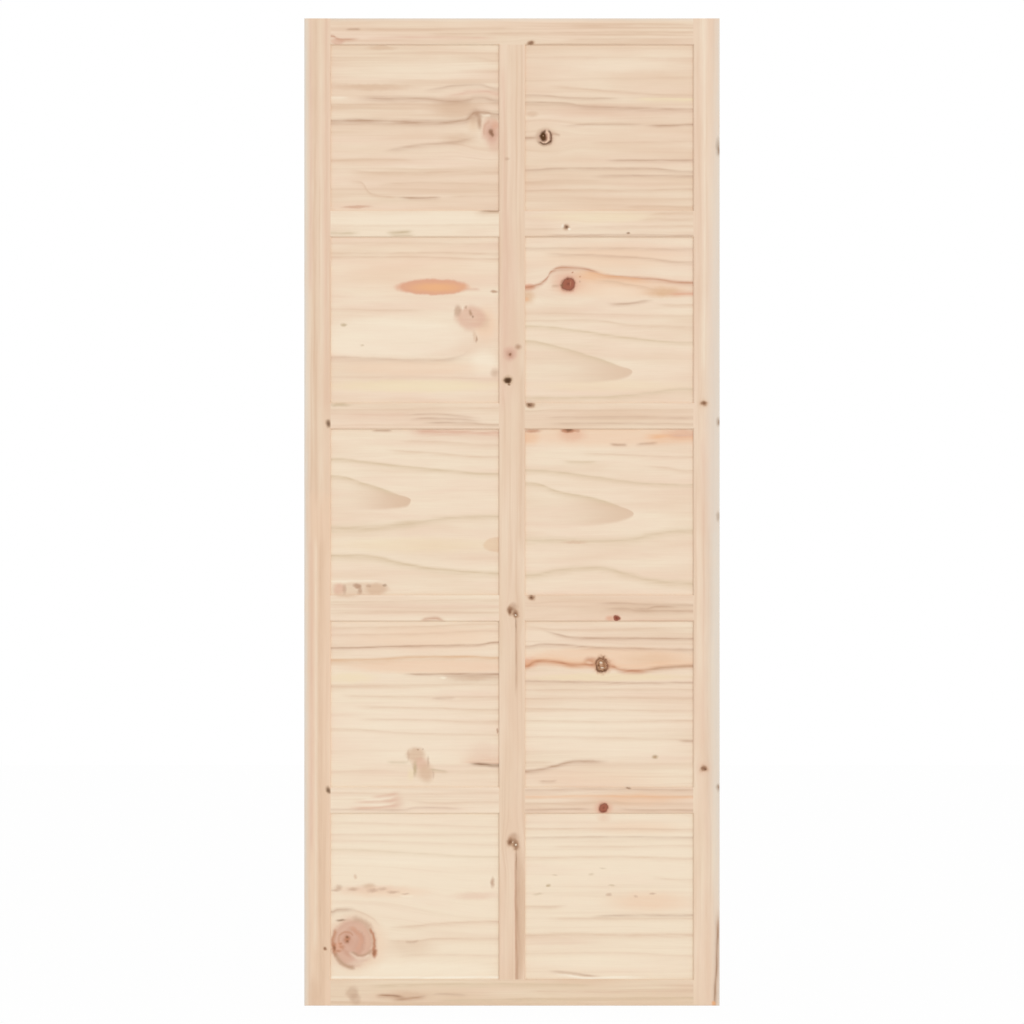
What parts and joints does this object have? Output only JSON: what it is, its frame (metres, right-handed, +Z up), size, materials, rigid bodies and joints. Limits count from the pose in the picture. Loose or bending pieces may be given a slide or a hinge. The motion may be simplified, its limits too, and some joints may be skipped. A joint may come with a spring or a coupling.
{
  "type": "barn door leaf",
  "caption": "Sliding barn door leaf in knotty pine: stiles, rails and a centre mullion grooved round flat recessed square panels.",
  "frame": {"origin": "middle of the top edge, halfway through the thickness, where the hangers carry the leaf", "axes": "+Z up along the height, +X to the right seen from the front, -Y out of the front face"},
  "size_m": [0.9, 0.018, 2.14],
  "materials": {
    "pine_frame": "sanded, unfinished",
    "pine_panel": "sanded, unfinished"
  },
  "bodies": {
    "root": {"left_stile": "pine_frame", "right_stile": "pine_frame", "top_rail": "pine_frame", "bottom_rail": "pine_frame", "centre_mullion": "pine_frame", "cross_rail_1_left": "pine_frame", "cross_rail_2_left": "pine_frame", "cross_rail_3_left": "pine_frame", "cross_rail_4_left": "pine_frame", "cross_rail_1_right": "pine_frame", "cross_rail_2_right": "pine_frame", "cross_rail_3_right": "pine_frame", "cross_rail_4_right": "pine_frame", "panel_1_left": "pine_panel", "panel_2_left": "pine_panel", "panel_3_left": "pine_panel", "panel_4_left": "pine_panel", "panel_5_left": "pine_panel", "panel_1_right": "pine_panel", "panel_2_right": "pine_panel", "panel_3_right": "pine_panel", "panel_4_right": "pine_panel", "panel_5_right": "pine_panel"}
  },
  "joints": []
}
